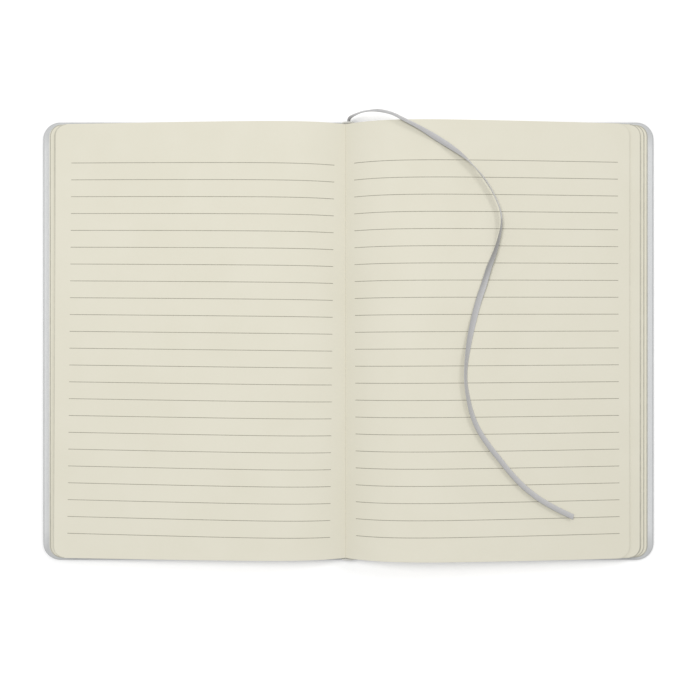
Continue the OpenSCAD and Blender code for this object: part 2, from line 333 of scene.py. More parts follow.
def sweep(bm, rings):
    """Draws a closed ring of points out through each of the next rings, and closes both ends"""
    verts = [bm.verts.new(p) for p in rings[0]]
    edges = [bm.edges.new((a, b)) for a, b in zip(verts, verts[1:] + verts[:1])]
    first = list(edges)
    order = [verts]
    for ring in rings[1:]:
        made = bmesh.ops.extrude_edge_only(bm, edges=edges)["geom"]
        new = [g for g in made if isinstance(g, bmesh.types.BMVert)]
        pairs = {}
        for v in new:
            for e in v.link_edges:
                other = e.other_vert(v)
                if other in order[-1]:
                    pairs[other] = v
        row = [pairs[v] for v in order[-1]]
        for v, p in zip(row, ring):
            v.co = p
        order.append(row)
        edges = [bm.edges.get((a, b)) for a, b in zip(row, row[1:] + row[:1])]
    bmesh.ops.holes_fill(bm, edges=first, sides=0)
    bmesh.ops.holes_fill(bm, edges=edges, sides=0)
    bmesh.ops.recalc_face_normals(bm, faces=bm.faces[:])
    return order


# Material helpers

class Nodes:
    """Adds nodes to a tree, each input given as a value or as another node's output"""

    def __init__(self, tree):
        self.tree = tree

    def feed(self, node, inputs):
        for key, value in inputs.items():
            if isinstance(value, bpy.types.NodeSocket):
                self.tree.links.new(value, node.inputs[key])
            else:
                node.inputs[key].default_value = value

    def add(self, kind, inputs=None, **settings):
        node = self.tree.nodes.new(kind)
        for key, value in settings.items():
            setattr(node, key, value)
        self.feed(node, inputs or {})
        return node

    def math(self, operation, a, b=0.0):
        return self.add("ShaderNodeMath", {0: a, 1: b}, operation=operation).outputs[0]

    def plus(self, a, b):
        return self.math("ADD", a, b)

    def times(self, a, b):
        return self.math("MULTIPLY", a, b)

    def mix(self, factor, a, b, blend="MIX"):
        inputs = {"Factor": factor, 6: a, 7: b}
        return self.add("ShaderNodeMix", inputs, data_type="RGBA", blend_type=blend).outputs[2]

    def noise(self, coords, scale, detail=3.0, rough=0.5):
        inputs = {"Vector": coords, "Scale": scale, "Detail": detail, "Roughness": rough}
        return self.add("ShaderNodeTexNoise", inputs).outputs["Fac"]

    def spread(self, value, low, high, to_low=0.0, to_high=1.0):
        inputs = {"Value": value, "From Min": low, "From Max": high,
                  "To Min": to_low, "To Max": to_high}
        return self.add("ShaderNodeMapRange", inputs).outputs["Result"]

    def stretch(self, coords, scale):
        return self.add("ShaderNodeMapping", {"Vector": coords, "Scale": scale}).outputs["Vector"]

    def attribute(self, name):
        return self.add("ShaderNodeAttribute", attribute_name=name).outputs["Fac"]

    def bump(self, shader, height, distance, strength):
        inputs = {"Height": height, "Distance": distance, "Strength": strength}
        self.feed(shader, {"Normal": self.add("ShaderNodeBump", inputs).outputs["Normal"]})

    def group(self, build, inputs):
        """A node of a shared group, which is built the first time that it is asked for"""
        name = build.__name__
        tree = bpy.data.node_groups.get(name) or build(name)
        return self.add("ShaderNodeGroup", inputs, node_tree=tree).outputs


FLOAT, VECTOR, COLOR = "NodeSocketFloat", "NodeSocketVector", "NodeSocketColor"


def node_group(name, inputs, outputs):
    """A new shader group, its node maker, its given sockets and its output node"""
    tree = bpy.data.node_groups.new(name, "ShaderNodeTree")
    for label, kind, default in inputs:
        socket = tree.interface.new_socket(name=label, in_out="INPUT", socket_type=kind)
        if default is not None:
            socket.default_value = default
    for label, kind in outputs:
        tree.interface.new_socket(name=label, in_out="OUTPUT", socket_type=kind)
    n = Nodes(tree)
    return tree, n, n.add("NodeGroupInput").outputs, n.add("NodeGroupOutput")


def paper_fibre(name):
    """Uncoated paper: cloudy colour and matted fibres"""
    tree, n, given, out = node_group(
        name,
        [("Coords", VECTOR, None), ("Tint", COLOR, (0.6, 0.6, 0.5, 1)),
         ("Cloud", FLOAT, 0.5), ("Fibre size", FLOAT, 0.0004)],
        [("Color", COLOR), ("Height", FLOAT)])
    scale = n.math("DIVIDE", 1.0, given["Fibre size"])
    cloud = n.noise(given["Coords"], 45.0, 4.0)
    fine = n.noise(given["Coords"], scale, 3.0, 0.6)
    long_way = n.noise(n.stretch(given["Coords"], (1, 0.22, 1)), scale, 2.0)
    cross = n.noise(n.stretch(given["Coords"], (0.22, 1, 1)), scale, 2.0)
    mat = n.plus(n.times(long_way, 0.5), n.times(cross, 0.5))
    height = n.plus(n.times(fine, 0.5), n.times(mat, 0.5))
    shade = n.times(n.spread(cloud, 0.35, 0.65), given["Cloud"])
    speck = n.times(n.spread(height, 0.4, 0.62), 0.3)
    dark = n.mix(1.0, given["Tint"], (0.94, 0.935, 0.91, 1), "MULTIPLY")
    colour = n.mix(n.times(n.plus(shade, speck), 0.6), given["Tint"], dark)
    n.feed(out, {"Color": colour, "Height": height})
    return tree


def leaf_lines(name):
    """Fine lines between leaves, from the attribute that counts through the stack"""
    tree, n, given, out = node_group(
        name,
        [("Leaf", FLOAT, 0.0), ("Coords", VECTOR, None)],
        [("Gap", FLOAT), ("Height", FLOAT)])
    wander = n.times(n.math("SUBTRACT", n.noise(given["Coords"], 120.0, 2.0), 0.5), 0.22)
    place = n.math("FRACT", n.plus(n.plus(given["Leaf"], 0.5), wander))
    off = n.math("ABSOLUTE", n.math("SUBTRACT", place, 0.5))
    patch = n.spread(n.noise(given["Coords"], 260.0, 2.0), 0.35, 0.6, 0.35, 1.0)
    gap = n.times(n.spread(off, 0.34, 0.5), patch)
    n.feed(out, {"Gap": gap, "Height": n.math("SUBTRACT", 1.0, gap)})
    return tree


def pebble_grain(name):
    """Leatherette: fine pebbles with creases between them"""
    tree, n, given, out = node_group(
        name,
        [("Coords", VECTOR, None), ("Size", FLOAT, 0.0005)],
        [("Height", FLOAT), ("Crease", FLOAT), ("Cloud", FLOAT)])
    scale = n.math("DIVIDE", 1.0, given["Size"])
    bend = n.add("ShaderNodeTexNoise", {"Vector": given["Coords"], "Scale": 900.0, "Detail": 2.0})
    warp = n.add("ShaderNodeVectorMath", {0: bend.outputs["Color"], "Scale": 0.0004}, operation="SCALE")
    moved = n.add("ShaderNodeVectorMath", {0: given["Coords"], 1: warp.outputs[0]}, operation="ADD")
    cells = n.add("ShaderNodeTexVoronoi", {"Vector": moved.outputs[0], "Scale": scale},
                  feature="DISTANCE_TO_EDGE")
    pebble = n.spread(cells.outputs["Distance"], 0.0, 0.22)
    fine = n.noise(given["Coords"], 5200.0, 2.0)
    n.feed(out, {
        "Height": n.plus(n.times(pebble, 0.8), n.times(fine, 0.2)),
        "Crease": n.math("SUBTRACT", 1.0, pebble),
        "Cloud": n.noise(given["Coords"], 30.0, 4.0)})
    return tree


def thread_weave(name):
    """Threads crossing: warp along the piece, weft across it"""
    tree, n, given, out = node_group(
        name,
        [("Along", FLOAT, 0.0), ("Across", FLOAT, 0.0),
         ("Warp pitch", FLOAT, 0.00018), ("Weft pitch", FLOAT, 0.00035)],
        [("Height", FLOAT), ("Gap", FLOAT)])
    warp = n.math("DIVIDE", given["Across"], given["Warp pitch"])
    weft = n.math("DIVIDE", given["Along"], given["Weft pitch"])
    warp_round = n.math("ABSOLUTE", n.math("SINE", n.times(warp, math.pi)))
    odd = n.times(n.math("FLOOR", warp), 0.4)
    weft_round = n.math("ABSOLUTE", n.math("SINE", n.times(n.plus(weft, odd), math.pi)))
    height = n.times(n.math("POWER", warp_round, 0.6), n.plus(n.times(weft_round, 0.45), 0.55))
    n.feed(out, {"Height": height, "Gap": n.math("SUBTRACT", 1.0, height)})
    return tree


def new_material(name, colour):
    """A material with its node maker, its shader and its Object coordinates"""
    material = bpy.data.materials.new(name)
    material.use_nodes = True
    material.diffuse_color = colour
    n = Nodes(material.node_tree)
    shader = material.node_tree.nodes["Principled BSDF"]
    return material, n, shader, n.add("ShaderNodeTexCoord").outputs["Object"]


def rgba(colour, factor=1.0):
    return (*(c * factor for c in colour), 1.0)


def paper_material(name, tint, fibre, leaves=False):
    """Ivory uncoated paper; where it stands for a stack of leaves, their edges are drawn in"""
    material, n, shader, coords = new_material(name, rgba(tint))
    paper = n.group(paper_fibre, {
        "Coords": coords, "Tint": rgba(tint), "Cloud": 0.5, "Fibre size": fibre})
    colour, height = paper["Color"], paper["Height"]
    if leaves:
        lines = n.group(leaf_lines, {"Leaf": n.attribute("leaf"), "Coords": coords})
        colour = n.mix(n.times(lines["Gap"], 0.75), colour, rgba(tint, 0.4))
        height = n.plus(n.times(height, 0.2), lines["Height"])
    # Painted shade along the marked rims of leaves and pages, uneven in strength
    rim_shade_patch = n.spread(n.noise(coords, 300.0, 3.0), 0.35, 0.65, 0.75, 1.0)
    n.feed(shader, {
        "Base Color": n.mix(n.times(n.attribute("edge"), rim_shade_patch), colour, rgba(tint, 0.5)),
        "Roughness": n.spread(paper["Height"], 0.3, 0.7, 0.86, 0.95),
        "Specular IOR Level": 0.22})
    n.bump(shader, height, 0.00006 if leaves else 0.00002, 0.6)
    return material


def ink_material(ink, tint):
    """Thin grey ink that lets the paper's fibres through"""
    material, n, shader, coords = new_material("ruling_ink", rgba(ink))
    cover = n.spread(n.noise(coords, 1800.0, 4.0, 0.6), 0.3, 0.62, 0.25, 0.0)
    bands = n.spread(n.noise(coords, 60.0, 2.0), 0.3, 0.7, 0.12, 0.0)
    n.feed(shader, {
        "Base Color": n.mix(n.plus(cover, bands), rgba(ink), rgba(tint)),
        "Roughness": 0.8,
        "Specular IOR Level": 0.25})
    n.bump(shader, n.noise(coords, 3500.0, 2.0), 0.00001, 0.5)
    return material


def covering_material(tint):
    """Smooth pale leatherette, with painted shade along its rim"""
    if "leatherette" in bpy.data.materials:
        return bpy.data.materials["leatherette"]
    material, n, shader, coords = new_material("leatherette", rgba(tint))
    grain = n.group(pebble_grain, {"Coords": coords, "Size": 0.00055})
    cloud = n.spread(grain["Cloud"], 0.35, 0.65, 0.0, 0.35)
    colour = n.mix(cloud, rgba(tint), rgba(tint, 0.93))
    colour = n.mix(n.times(grain["Crease"], 0.3), colour, rgba(tint, 0.72))
    # Painted shade along the covering's outer rim, uneven in strength
    patch = n.spread(n.noise(coords, 240.0, 4.0), 0.3, 0.7, 0.7, 1.0)
    n.feed(shader, {
        "Base Color": n.mix(n.times(n.attribute("rim"), patch), colour, rgba(tint, 0.5)),
        "Roughness": n.spread(grain["Height"], 0.2, 0.9, 0.62, 0.46),
        "Specular IOR Level": 0.4})
    n.bump(shader, grain["Height"], 0.00004, 0.5)
    return material


def board_material(tint):
    """Pressed grey board, with flecks of the paper it was made from"""
    material, n, shader, coords = new_material("grey_board", rgba(tint))
    grit = n.noise(coords, 1500.0, 5.0, 0.7)
    layers = n.spread(n.noise(n.stretch(coords, (0.2, 0.2, 9)), 700.0, 2.0), 0.35, 0.65)
    colour = n.mix(n.times(layers, 0.35), rgba(tint), rgba(tint, 0.8))
    colour = n.mix(n.times(n.spread(grit, 0.5, 0.72), 0.5), colour, rgba(tint, 1.4))
    n.feed(shader, {"Base Color": colour, "Roughness": 0.9})
    n.bump(shader, grit, 0.00005, 0.6)
    return material


def woven_material(name, tint, warp, weft, rough, depth, sheen=0.0, ribbon=False):
    """Woven thread. On the ribbon, attributes give the place on it and how much painted light and shade
    its colour takes.
    """
    material, n, shader, coords = new_material(name, rgba(tint))
    if ribbon:
        along, across = n.attribute("along"), n.attribute("across")
    else:
        parts = n.add("ShaderNodeSeparateXYZ", {"Vector": coords}).outputs
        along, across = parts["Y"], n.plus(parts["X"], parts["Z"])
    weave = n.group(thread_weave, {
        "Along": along, "Across": across, "Warp pitch": warp, "Weft pitch": weft})
    streak = n.spread(n.noise(coords, 900.0, 3.0), 0.35, 0.7, 0.0, 0.3)
    colour = n.mix(streak, rgba(tint), rgba(tint, 0.88))
    colour = n.mix(n.times(weave["Gap"], 0.5), colour, rgba(tint, 0.55))
    if ribbon:
        # On the ribbon the colour is painted lighter where its face leans towards the light and darker
        # where it leans away
        painted_light_shade = n.mix(n.attribute("lit"), (0.7, 0.7, 0.7, 1), (1.28, 1.28, 1.28, 1))
        colour = n.mix(1.0, colour, painted_light_shade, "MULTIPLY")
    n.feed(shader, {
        "Base Color": colour,
        "Roughness": n.spread(weave["Height"], 0.2, 1.0, rough + 0.2, rough),
        "Sheen Weight": sheen,
        "Sheen Roughness": 0.4})
    n.bump(shader, weave["Height"], depth, 0.7)
    return material


# How near to the table a thing darkens it with painted shadow
CONTACT_REACH = 4 * MM


def floor_material(tint, glow):
    """Plain white table, faintly uneven, lit through, with painted shadow close to what stands on it"""
    material, n, shader, coords = new_material("pale_table", rgba(tint))
    cloud = n.spread(n.noise(coords, 4.0, 3.0), 0.3, 0.7)
    colour = n.mix(n.times(cloud, 0.3), rgba(tint), rgba(tint, 0.985))
    # Painted shadow on the table close to whatever stands on it
    near = n.add("ShaderNodeAmbientOcclusion", {"Distance": CONTACT_REACH}, samples=8).outputs["AO"]
    shade = n.spread(near, 0.35, 0.9, 0.75, 0.0)
    n.feed(shader, {
        "Base Color": n.mix(shade, colour, rgba(tint, 0.5)),
        "Roughness": 0.9,
        "Specular IOR Level": 0.1,
        "Emission Color": (1, 1, 1, 1),
        "Emission Strength": glow})
    return material


# The stage

CAMERA_X = 0.8 * MM
CAMERA_Y = -4.27 * MM
LENS = 53.54
SENSOR_W = 36
TABLE_HALF = 3
OVERHEAD_PLACE = (-0.24, 0.18, 1.07)
OVERHEAD_W = 0.45
RIGHT_PLACE = (0.8, 0.6, 1.0)
RIGHT_W = 0.36


def soft_light(name, place, size, power):
    light = bpy.data.lights.new(name, "AREA")
    light.shape = "DISK"
    light.size = size
    light.energy = power
    obj = bpy.data.objects.new(name, light)
    obj.location = place
    obj.rotation_euler = (-Vector(place)).to_track_quat("-Z", "Y").to_euler()
    bpy.context.scene.collection.objects.link(obj)


class NOTEBOOK_OT_stage(bpy.types.Operator):
    """Sets the camera over the open book, a pale table under it and soft lights round it"""

    bl_idname = "notebook.stage"
    bl_label = "Stage"

    def execute(self, context):
        stage = context.scene.notebook_stage
        camera = bpy.data.objects.new("camera", bpy.data.cameras.new("camera"))
        camera.data.lens = LENS
        camera.data.sensor_width = SENSOR_W
        camera.data.clip_start = 0.01
        camera.location = (CAMERA_X, CAMERA_Y, stage.camera_height)
        context.scene.collection.objects.link(camera)
        context.scene.camera = camera

        bm = bmesh.new()
        bmesh.ops.create_grid(bm, x_segments=8, y_segments=8, size=TABLE_HALF)
        mesh = bpy.data.meshes.new("table")
        bm.to_mesh(mesh)
        bm.free()
        mesh.materials.append(floor_material(stage.floor, stage.glow))
        table = bpy.data.objects.new("table", mesh)
        context.scene.collection.objects.link(table)

        soft_light("light_overhead", OVERHEAD_PLACE, OVERHEAD_W, stage.overhead)
        soft_light("light_from_right", RIGHT_PLACE, RIGHT_W, stage.right)
        world = bpy.data.worlds.new("studio")
        world.use_nodes = True
        background = world.node_tree.nodes["Background"]
        background.inputs["Color"].default_value = (1, 1, 1, 1)
        background.inputs["Strength"].default_value = stage.dome
        context.scene.world = world
        context.scene.view_settings.view_transform = "Standard"
        return {"FINISHED"}


# The ribbon

def along_curve(points, steps):
    """Points of a smooth curve through the given ones, with where each lies between them"""
    out = []
    last = len(points) - 1
    for i in range(last):
        p0, p1 = points[max(i - 1, 0)], points[i]
        p2, p3 = points[i + 1], points[min(i + 2, last)]
        for k in range(steps):
            t = k / steps
            out.append((0.5 * (2 * p1 + (p2 - p0) * t + (2 * p0 - 5 * p1 + 4 * p2 - p3) * t**2
                               + (3 * p1 - p0 - 3 * p2 + p3) * t**3), i + t))
    out.append((points[last], float(last)))
    return out


# Share of its width that the ribbon, folded in the spine, shows where it comes out, and the
# points of its route between which it opens out
FOLDED_WIDTH = 0.55
OPENS_FROM = 1.5
OPENS_OVER = 3
# Level direction of the light by which the satin's colour is painted lighter or darker, by the lean of
# its face and across its width
RIBBON_LIGHT = Vector((0.8, 0.6, 0))
LIT_BY_LEAN = 0.4
SHADED_BY_LEAN = 0.8
LIT_ACROSS = 0.4
RINGS_PER_POINT = 5


def ribbon_frames(steps):
    """Each ring's centre, width and thickness directions, and how flat and how open it is"""
    centres = along_curve(ROUTE, steps)
    rolls = along_curve([Vector((r, 0)) for r in ROLL], steps)
    frames = []
    for i, (centre, place) in enumerate(centres):
        ahead = (centres[min(i + 1, len(centres) - 1)][0] - centres[max(i - 1, 0)][0]).normalized()
        side = ahead.cross(Vector((0, 0, 1))).normalized()
        up = side.cross(ahead)
        roll = math.radians(rolls[i][0].x)
        width = side * math.cos(roll) + up * math.sin(roll)
        if place < 1:
            width = Vector((1, 0, 0)).lerp(width, place).normalized()
        opened = FOLDED_WIDTH + (1 - FOLDED_WIDTH) * min(1, max(0, (place - OPENS_FROM) / OPENS_OVER))
        frames.append((centre, width, width.cross(ahead).normalized(), math.cos(roll), opened))
    return frames


class NOTEBOOK_OT_ribbon(bpy.types.Operator):
    """Lays the satin marker ribbon along its route over the right-hand page"""

    bl_idname = "notebook.ribbon"
    bl_label = "Ribbon"

    def execute(self, context):
        ribbon = context.scene.notebook_ribbon
        half_w, half_t = ribbon.width / 2, ribbon.thickness / 2
        # Selvedges a little thicker than the satin between them
        upper = [(-1, 0.45), (-0.97, 0.95), (-0.9, 1), (-0.82, 0.8), (-0.4, 0.72),
                 (0, 0.7), (0.4, 0.72), (0.82, 0.8), (0.9, 1), (0.97, 0.95), (1, 0.45)]
        section = upper + [(w, -t) for w, t in reversed(upper)]
        frames = ribbon_frames(RINGS_PER_POINT)
        rings = [[centre + width * (w * half_w * opened)
                  + through * (t * half_t + flat * ribbon.cup * (1 - w * w)) for w, t in section]
                 for centre, width, through, flat, opened in frames]
        bm = bmesh.new()
        along = bm.verts.layers.float.new("along")
        across = bm.verts.layers.float.new("across")
        lit = bm.verts.layers.float.new("lit")
        order = sweep(bm, rings)
        run = 0.0
        for i, row in enumerate(order):
            centre, _, through, flat, _ = frames[i]
            # How far the face that shows from above leans towards the light on the right
            lean = through.dot(RIBBON_LIGHT) * (1 if through.z > 0 else -1)
            # Painted light and shade: lighter where the face leans towards the light, darker where it
            # leans away, and darker towards one side across the width
            painted_lean = 0.5 + (LIT_BY_LEAN if lean > 0 else SHADED_BY_LEAN) * lean
            if i:
                run += (centre - frames[i - 1][0]).length
            for v, (w, _) in zip(row, section):
                v[along], v[across] = run, w * half_w
                v[lit] = min(1, max(0, painted_lean - LIT_ACROSS * w * flat))
        satin = woven_material("ribbon_satin", ribbon.satin, 0.00016, 0.0004,
                               rough=0.38, depth=0.00003, sheen=0.25, ribbon=True)
        obj = piece("marker_ribbon", bm, satin, sharp=50)
        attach(obj, "book")
        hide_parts("ribbon")
        return {"FINISHED"}


# The case

def groove_lift(x):
    """How far the covering is pressed up at a distance across the joint"""
    off = abs(x - HINGE_X)
    if off >= GROOVE_HALF:
        return 0.0
    radius = (GROOVE_HALF**2 + GROOVE_DEPTH**2) / (2 * GROOVE_DEPTH)
    return math.sqrt(radius**2 - off**2) + GROOVE_DEPTH - radius


def wrap_sheet(x0, x1, corner_r, rim_round, both_ends_open):
    """The covering as one sheet, wrapped round the board's edges and turned in on its inner face"""
    bm = bmesh.new()
    flat_plate(bm, x0, x1, COVER_HALF, corner_r, segments=12)
    thicken(bm, COVER_T)
    ends = [x0, x1] if both_ends_open else [x0]

    def at_one_end(verts):
        return any(all(abs(v.co.x - x) < TINY for v in verts) for x in ends)

    rim = [e for e in bm.edges
           if abs(e.verts[0].co.z - e.verts[1].co.z) < 1e-7 and not at_one_end(e.verts)]
    bmesh.ops.bevel(bm, geom=rim, offset=rim_round, segments=4, profile=0.5,
                    affect="EDGES", material=-1)
    open_ends = [f for f in bm.faces if at_one_end(f.verts)]
    bmesh.ops.delete(bm, geom=open_ends, context="FACES")
    return bm


def open_window(bm, x_to=None):
    """Takes out the covering's inner side where no turned-in edge covers the board"""
    window_half = COVER_HALF - TURN_IN
    if x_to is not None:
        cut_at(bm, "x", [x_to])
    cut_at(bm, "y", (-window_half, window_half))
    gone = []
    for f in bm.faces:
        c = f.calc_center_median()
        if c.z > COVER_T - TINY and abs(c.y) < window_half and (x_to is None or c.x < x_to):
            gone.append(f)
    bmesh.ops.delete(bm, geom=gone, context="FACES")


# How far in from its outer rim the covering's colour takes painted shade
RIM_SHADE_REACH = 0.9 * MM


def mark_rim_shade(bm):
    """Notes how near each point is to the covering's outer rim, for the painted shade along it"""
    rim = bm.verts.layers.float.new("rim")
    cut_at(bm, "x", [RIM_SHADE_REACH - COVER_EDGE, COVER_EDGE - RIM_SHADE_REACH])
    cut_at(bm, "y", [RIM_SHADE_REACH - COVER_HALF, COVER_HALF - RIM_SHADE_REACH])
    for v in bm.verts:
        beyond_x = max(0.0, abs(v.co.x) - COVER_EDGE + COVER_CORNER_R)
        beyond_y = max(0.0, abs(v.co.y) - COVER_HALF + COVER_CORNER_R)
        v[rim] = max(0.0, 1 - (COVER_CORNER_R - math.hypot(beyond_x, beyond_y)) / RIM_SHADE_REACH)


def give_thickness(obj):
    solid = obj.modifiers.new("covering", "SOLIDIFY")
    solid.thickness = SKIN_T
    solid.offset = -1


BLEND_MARGIN = 0.4 * MM
BLEND_NEAR = STRIP_EDGE + BLEND_MARGIN
COVERS = ((-1, "front"), (1, "back"))
# Steps at which the covering and the endpapers are cut across, closer over the joints
COVERING_STEP = 14 * MM
COVERING_JOINT_STEP = 0.35 * MM
ENDPAPER_STEP = 12 * MM
ENDPAPER_JOINT_STEP = 0.6 * MM
# Width over which the endpaper eases down inside the turned-in covering, and how many times
# deeper it dips in the joint
EASE = 1.4 * MM
JOINT_DIP = 1.6


def bend_at_joint(obj):
    """Bakes a sheet's placing into its mesh"""
    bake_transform(obj)


class NOTEBOOK_OT_covers(bpy.types.Operator):
    """Wraps the covering round the two boards and over the joints"""

    bl_idname = "notebook.covers"
    bl_label = "Covers"

    def execute(self, context):
        case = context.scene.notebook_case
        for sign, name in COVERS:
            bm = wrap_sheet(BLEND_NEAR, COVER_EDGE, COVER_CORNER_R, case.rim_round, False)
            open_window(bm, COVER_EDGE - TURN_IN)
            cut_at(bm, "x", even_places(BLEND_NEAR, BOARD_IN, COVERING_JOINT_STEP))
            cut_at(bm, "y", even_places(-COVER_HALF, COVER_HALF, COVERING_STEP))
            for v in bm.verts:
                v.co.z += groove_lift(v.co.x) * max(0.0, 1 - 2 * v.co.z / COVER_T)
            mark_rim_shade(bm)
            flip_side(bm, sign)
            obj = piece(f"{name}_covering", bm, covering_material(case.covering))
            give_thickness(obj)
            bend_at_joint(obj)
            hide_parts(f"{name}_cover_skin")
        return {"FINISHED"}


class NOTEBOOK_OT_spine(bpy.types.Operator):
    """Wraps the covering round the spine strip"""

    bl_idname = "notebook.spine"
    bl_label = "Spine covering"

    def execute(self, context):
        case = context.scene.notebook_case
        bm = wrap_sheet(-BLEND_NEAR, BLEND_NEAR, 0, case.rim_round, True)
        open_window(bm)
        cut_at(bm, "y", even_places(-COVER_HALF, COVER_HALF, COVERING_STEP))
        mark_rim_shade(bm)
        obj = piece("spine_covering", bm, covering_material(case.covering))
        give_thickness(obj)
        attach(obj, "book")
        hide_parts("spine_skin")
        return {"FINISHED"}


class NOTEBOOK_OT_endpapers(bpy.types.Operator):
    """Pastes an endpaper over each board and joint"""

    bl_idname = "notebook.endpapers"
    bl_label = "Endpapers"

    def execute(self, context):
        case = context.scene.notebook_case
        # The endpapers keep the plain paper that their solids bring
        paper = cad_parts["back_pastedown"].data.materials[0]
        window_x, window_y = COVER_EDGE - TURN_IN, COVER_HALF - TURN_IN
        for sign, name in COVERS:
            bm = bmesh.new()
            flat_plate(bm, FLY_IN, PASTE_EDGE, PASTE_HALF, COVER_CORNER_R - (COVER_EDGE - PASTE_EDGE))
            cut_at(bm, "x", even_places(FLY_IN, BOARD_IN + 1 * MM, ENDPAPER_JOINT_STEP))
            cut_at(bm, "x", [window_x - EASE, window_x])
            cut_at(bm, "y", [window_y - EASE, window_y, EASE - window_y, -window_y])
            cut_at(bm, "y", even_places(-window_y, window_y, ENDPAPER_STEP))
            thicken(bm, FLY_Z - COVER_T)
            for v in bm.verts:
                v.co.z += COVER_T
                if v.co.x < window_x - EASE / 2 and abs(v.co.y) < window_y - EASE / 2:
                    in_joint = STRIP_EDGE < v.co.x < BOARD_IN
                    v.co.z -= case.paste_dip * (JOINT_DIP if in_joint else 1)
            flip_side(bm, sign)
            obj = piece(f"{name}_pasted_endpaper", bm, paper)
            bend_at_joint(obj)
            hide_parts(f"{name}_pastedown")
            assign(f"{name}_flyleaf", paper)
        return {"FINISHED"}


def assign(node, material):
    """Gives a carried-over solid its material"""
    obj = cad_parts[node]
    obj.data.materials.clear()
    obj.data.materials.append(material)


GAUZE_COLOUR = (0.62, 0.60, 0.53)


class NOTEBOOK_OT_inside(bpy.types.Operator):
    """Gives the boards and the spine lining their materials"""

    bl_idname = "notebook.inside"
    bl_label = "Boards and lining"

    def execute(self, context):
        board = board_material(context.scene.notebook_case.board)
        for node in ("front_board", "back_board", "spine_board"):
            assign(node, board)
        gauze = woven_material("lining_gauze", GAUZE_COLOUR, 0.0007, 0.0007, rough=0.75, depth=0.0001)
        assign("spine_lining", gauze)
        return {"FINISHED"}


# Thickness of a band's thread through one turn, as shares of the whole
THREAD_SWELL = (0.86, 0.97, 1, 0.97)
BAND_TURNS = 26
BAND_SIDES = 10


class NOTEBOOK_OT_bands(bpy.types.Operator):
    """Winds the head and tail bands over the backs of the leaves"""

    bl_idname = "notebook.bands"
    bl_label = "Head and tail bands"

    def execute(self, context):
        thread = woven_material("band_thread", context.scene.notebook_ribbon.thread,
                                0.00012, 0.0006, rough=0.55, depth=0.00003, sheen=0.3)
        low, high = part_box("head_band")
        thick, reach = high.x - ARCH_R, high.y - low.y
        centre_r = ARCH_R + thick / 2
        steps = BAND_TURNS * len(THREAD_SWELL)
        leg = ARCH_Z - BASE_Z
        whole = 2 * leg + math.pi * centre_r
        for end, node in ((1, "head_band"), (-1, "tail_band")):
            rings = []
            for i in range(steps + 1):
                run = whole * i / steps
                if run < leg:
                    out, middle = Vector((-1, 0, 0)), Vector((0, 0, BASE_Z + run))
                elif run > whole - leg:
                    out, middle = Vector((1, 0, 0)), Vector((0, 0, BASE_Z + whole - run))
                else:
                    angle = math.pi - (run - leg) / centre_r
                    out, middle = Vector((math.cos(angle), 0, math.sin(angle))), Vector((0, 0, ARCH_Z))
                swell = THREAD_SWELL[i % len(THREAD_SWELL)]
                ring = []
                for k in range(BAND_SIDES):
                    a = 2 * math.pi * k / BAND_SIDES
                    across = out * (centre_r + math.cos(a) * swell * thick / 2)
                    depth = PAGE_HALF + reach / 2 * (1 + math.sin(a) * swell)
                    ring.append(middle + across + Vector((0, end * depth, 0)))
                rings.append(ring)
            bm = bmesh.new()
            sweep(bm, rings)
            obj = piece(f"{node}_thread", bm, thread, sharp=60)
            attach(obj, "book")
            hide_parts(node)
        return {"FINISHED"}


# The leaves

# Steps of the cuts across a page: in the gutter, up to and past the hump, and beyond
GUTTER_STEP = 1.0 * MM
GUTTER_REACH = 12 * MM
HUMP_STEP = 2.2 * MM
HUMP_REACH = 1.6
SPREAD_STEP = 3.0 * MM
# Step of the cuts of an open page from head to tail
PAGE_STEP = 7 * MM
BUNCH_SEED = 7
# Width of the band of painted shade round the edge of each bunch of leaves, where the steps and gaps
# between bunches fall into shade, and how dark it is
RIM_W = 0.42 * MM
BUNCH_RIM_SHADE = 0.85
BUNCH_RIM_SHADE_HEAD = 0.25
# Air between one bunch of leaves and the next
BUNCH_GAP = 0.012 * MM
# Fine lines drawn on the edge of each bunch
LINES_PER_BUNCH = 3
# Lower and upper face of the ink's film over the paper
FILM_LOW = 0.004 * MM
FILM_HIGH = 0.022 * MM


def cut_places(side):
    """Places across a page where every leaf and line is cut, closer where it curves"""
    out, d = [], 0.0
    while d < side.leaf_d - SPREAD_STEP:
        if d < GUTTER_REACH:
            d += GUTTER_STEP
        elif d < HUMP_REACH * side.hump_d:
            d += HUMP_STEP
        else:
            d += SPREAD_STEP
        out.append(d)
    return out


# Where on an open page, as shares of its width and half height, its corners begin to curl
CURL_FROM_X = 0.55
CURL_FROM_Y = 0.35
CORNER_CURL = 7
# Waves of its paper: how many to a metre, and how high beside the curl
WAVES = 14
WAVE_LIFT = 0.16


def ripple(side, d, y, curl):
    """Slight lift of the open page: its corners curl and its paper isn't quite flat"""
    outward = d / side.edge_d
    corner = max(0.0, outward - CURL_FROM_X) ** 2 * max(0.0, abs(y) / PAGE_HALF - CURL_FROM_Y) ** 2
    wave = 0.5 + 0.5 * noise.noise(Vector((side.sign * d * WAVES, y * WAVES, 3.0 * side.sign)))
    return curl * (CORNER_CURL * corner + WAVE_LIFT * wave * outward)


def rim_of(bm):
    """The points on the outline of a flat plate"""
    return {v for f in bm.faces if abs(f.normal.z) < 0.5 for v in f.verts}


def paint_rim_shade(faces, layer, rim, reach, above, fore_edge, elsewhere):
    """Marks painted shade on the upper face of a plate along its outline, most at its fore edge"""
    for f in faces:
        if any(v in rim for v in f.verts) and all(v.co.z > above for v in f.verts):
            outer = max(abs(v.co.x) for v in f.verts) > reach - LEAF_CORNER_R
            for loop in f.loops:
                loop[layer] = fore_edge if outer else elsewhere


